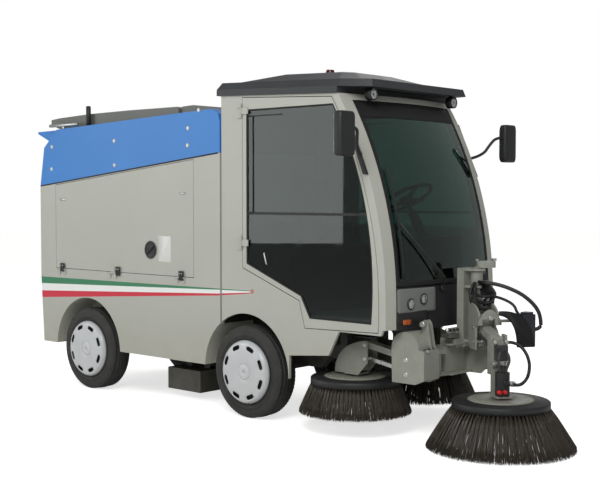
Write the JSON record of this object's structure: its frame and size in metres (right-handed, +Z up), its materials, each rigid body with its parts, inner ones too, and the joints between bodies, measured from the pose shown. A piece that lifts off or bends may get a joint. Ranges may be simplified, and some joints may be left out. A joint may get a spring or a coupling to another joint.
{
  "type": "street sweeper truck",
  "caption": "Compact vacuum street sweeper with a glazed single-seat cab, a folding-flap rear body, side brushes on trailing arms and a boom-mounted front brush.",
  "frame": {"origin": "on the ground under the middle of the whole vehicle's box, on its centre plane", "axes": "+X forward, +Y to the vehicle's left, +Z up"},
  "size_m": [4.7148, 1.944, 2.3962],
  "materials": {
    "body_paint": "satin",
    "blue_paint": "gloss",
    "black_frame": "satin",
    "engine_iron": "rough",
    "hopper_steel": "worn",
    "tyre": "matte",
    "wheel_silver": "satin",
    "roof_plastic": "grained",
    "black_plastic": "grained",
    "screen_glass": "clear",
    "lamp_glass": "clear",
    "beacon_plastic": "gloss",
    "seat_fabric": "woven",
    "mechanism_paint": "satin",
    "zinc_steel": "satin",
    "bristle": "fibre",
    "rubber_black": "matte"
  },
  "bodies": {
    "chassis": {"chassis": "black_frame", "axles": "black_frame", "engine": "engine_iron", "body_shell": "body_paint", "hopper": "hopper_steel", "top_cover": "blue_paint", "cab_shell": "body_paint", "windscreen": "screen_glass", "front_panel": "black_plastic", "roof": "roof_plastic", "beacon": "beacon_plastic", "lamps": "lamp_glass", "mirrors": "black_plastic", "dashboard": "black_plastic", "seat_base": "black_plastic", "seat_pads": "seat_fabric", "front_frame": "mechanism_paint", "suction_mouth": "black_frame"},
    "door_right": {"door_right": "body_paint", "door_glass_right": "screen_glass"},
    "door_left": {"door_left": "body_paint", "door_glass_left": "screen_glass"},
    "flap_right": {"flap_right": "body_paint"},
    "flap_left": {"flap_left": "body_paint"},
    "rear_door": {"rear_door": "body_paint"},
    "steering_wheel": {"steering_wheel": "black_plastic"},
    "knuckle_right": {"knuckle_right": "black_frame"},
    "knuckle_left": {"knuckle_left": "black_frame"},
    "wheel_front_right": {"tyre_front_right": "tyre", "rim_front_right": "wheel_silver"},
    "wheel_front_left": {"tyre_front_left": "tyre", "rim_front_left": "wheel_silver"},
    "wheel_rear_right": {"tyre_rear_right": "tyre", "rim_rear_right": "wheel_silver"},
    "wheel_rear_left": {"tyre_rear_left": "tyre", "rim_rear_left": "wheel_silver"},
    "swing_bracket_right": {"swing_bracket_right": "mechanism_paint"},
    "arm_right": {"arm_right": "mechanism_paint"},
    "arm_rod_right": {"arm_rod_right": "zinc_steel"},
    "brush_head_right": {"brush_head_right": "mechanism_paint"},
    "side_brush_right": {"side_brush_right": "bristle"},
    "swing_bracket_left": {"swing_bracket_left": "mechanism_paint"},
    "arm_left": {"arm_left": "mechanism_paint"},
    "arm_rod_left": {"arm_rod_left": "zinc_steel"},
    "brush_head_left": {"brush_head_left": "mechanism_paint"},
    "side_brush_left": {"side_brush_left": "bristle"},
    "boom": {"boom": "mechanism_paint"},
    "boom_arm": {"boom_arm": "mechanism_paint"},
    "boom_rod": {"boom_rod": "zinc_steel"},
    "boom_head": {"boom_head": "mechanism_paint"},
    "front_brush": {"front_brush": "bristle"}
  },
  "joints": [
    {"name": "steer_right", "type": "hinge", "parent": "chassis", "child": "knuckle_right", "pos_m": [0.14264, -0.395, 0.32], "axis": [0, 0, 1], "range_deg": [-25, 25]},
    {"name": "steer_left", "type": "hinge", "parent": "chassis", "child": "knuckle_left", "pos_m": [0.14264, 0.395, 0.32], "axis": [0, 0, 1], "range_deg": [-25, 25]},
    {"name": "wheel_front_right_spin", "type": "hinge", "parent": "knuckle_right", "child": "wheel_front_right", "pos_m": [0.14264, -0.507, 0.32], "axis": [0, 1, 0], "continuous": true},
    {"name": "wheel_front_left_spin", "type": "hinge", "parent": "knuckle_left", "child": "wheel_front_left", "pos_m": [0.14264, 0.507, 0.32], "axis": [0, 1, 0], "continuous": true},
    {"name": "wheel_rear_right_spin", "type": "hinge", "parent": "chassis", "child": "wheel_rear_right", "pos_m": [-1.60336, -0.507, 0.32], "axis": [0, 1, 0], "continuous": true},
    {"name": "wheel_rear_left_spin", "type": "hinge", "parent": "chassis", "child": "wheel_rear_left", "pos_m": [-1.60336, 0.507, 0.32], "axis": [0, 1, 0], "continuous": true},
    {"name": "steering_wheel_turn", "type": "hinge", "parent": "chassis", "child": "steering_wheel", "pos_m": [1.09265, 0, 1.413], "axis": [-0.5, 0, 0.866], "range_deg": [-400, 400]},
    {"name": "door_right_swing", "type": "hinge", "parent": "chassis", "child": "door_right", "pos_m": [0.11064, -0.608, 1.645], "axis": [0, 0, -1], "range_deg": [0, 75]},
    {"name": "door_left_swing", "type": "hinge", "parent": "chassis", "child": "door_left", "pos_m": [0.11064, 0.608, 1.645], "axis": [0, 0, 1], "range_deg": [0, 75]},
    {"name": "flap_right_fold", "type": "hinge", "parent": "chassis", "child": "flap_right", "pos_m": [-1.18935, -0.608, 0.93], "axis": [1, 0, 0], "range_deg": [0, 90]},
    {"name": "flap_left_fold", "type": "hinge", "parent": "chassis", "child": "flap_left", "pos_m": [-1.18935, 0.608, 0.93], "axis": [-1, 0, 0], "range_deg": [0, 90]},
    {"name": "rear_door_lift", "type": "hinge", "parent": "chassis", "child": "rear_door", "pos_m": [-2.23136, 0, 1.59], "axis": [0, 1, 0], "range_deg": [0, 80]},
    {"name": "swing_right", "type": "hinge", "parent": "chassis", "child": "swing_bracket_right", "pos_m": [1.47264, -0.245, 0.475], "axis": [0, 0, 1], "range_deg": [0, 15]},
    {"name": "lift_right", "type": "hinge", "parent": "swing_bracket_right", "child": "arm_right", "pos_m": [1.38765, -0.375, 0.51], "axis": [0, -1, 0], "range_deg": [0, 20]},
    {"name": "rod_right", "type": "hinge", "parent": "swing_bracket_right", "child": "arm_rod_right", "pos_m": [1.38765, -0.375, 0.42], "axis": [0, -1, 0], "range_deg": [0, 20]},
    {"name": "level_right", "type": "hinge", "parent": "arm_right", "child": "brush_head_right", "pos_m": [1.04465, -0.375, 0.57], "axis": [0, -1, 0], "range_deg": [-20, 0]},
    {"name": "side_brush_right_spin", "type": "hinge", "parent": "brush_head_right", "child": "side_brush_right", "pos_m": [0.92365, -0.375, 0.3], "axis": [0, 0, 1], "continuous": true},
    {"name": "swing_left", "type": "hinge", "parent": "chassis", "child": "swing_bracket_left", "pos_m": [1.47264, 0.245, 0.475], "axis": [0, 0, -1], "range_deg": [0, 15]},
    {"name": "lift_left", "type": "hinge", "parent": "swing_bracket_left", "child": "arm_left", "pos_m": [1.38765, 0.375, 0.51], "axis": [0, -1, 0], "range_deg": [0, 20]},
    {"name": "rod_left", "type": "hinge", "parent": "swing_bracket_left", "child": "arm_rod_left", "pos_m": [1.38765, 0.375, 0.42], "axis": [0, -1, 0], "range_deg": [0, 20]},
    {"name": "level_left", "type": "hinge", "parent": "arm_left", "child": "brush_head_left", "pos_m": [1.04465, 0.375, 0.57], "axis": [0, -1, 0], "range_deg": [-20, 0]},
    {"name": "side_brush_left_spin", "type": "hinge", "parent": "brush_head_left", "child": "side_brush_left", "pos_m": [0.92365, 0.375, 0.3], "axis": [0, 0, 1], "continuous": true},
    {"name": "boom_swing", "type": "hinge", "parent": "chassis", "child": "boom", "pos_m": [1.57265, 0.045, 0.8], "axis": [0, 0, 1], "range_deg": [-9.5, 80.5]},
    {"name": "boom_lift", "type": "hinge", "parent": "boom", "child": "boom_arm", "pos_m": [1.67034, -0.02468, 0.7], "axis": [-0.5807, -0.8141, 0], "range_deg": [0, 32]},
    {"name": "boom_rod_turn", "type": "hinge", "parent": "boom", "child": "boom_rod", "pos_m": [1.67034, -0.02468, 0.61], "axis": [-0.5807, -0.8141, 0], "range_deg": [0, 32]},
    {"name": "boom_level", "type": "hinge", "parent": "boom_arm", "child": "boom_head", "pos_m": [1.8413, -0.14663, 0.64], "axis": [-0.5807, -0.8141, 0], "range_deg": [-32, 0]},
    {"name": "front_brush_spin", "type": "hinge", "parent": "boom_head", "child": "front_brush", "pos_m": [1.90236, -0.19018, 0.25], "axis": [0, 0, 1], "continuous": true}
  ],
  "couplings": [
    {"joint": "steer_left", "follows": "steer_right", "ratio": 1},
    {"joint": "steering_wheel_turn", "follows": "steer_right", "ratio": 16},
    {"joint": "rod_right", "follows": "lift_right", "ratio": 1},
    {"joint": "level_right", "follows": "lift_right", "ratio": -1},
    {"joint": "rod_left", "follows": "lift_left", "ratio": 1},
    {"joint": "level_left", "follows": "lift_left", "ratio": -1},
    {"joint": "boom_rod_turn", "follows": "boom_lift", "ratio": 1},
    {"joint": "boom_level", "follows": "boom_lift", "ratio": -1}
  ]
}
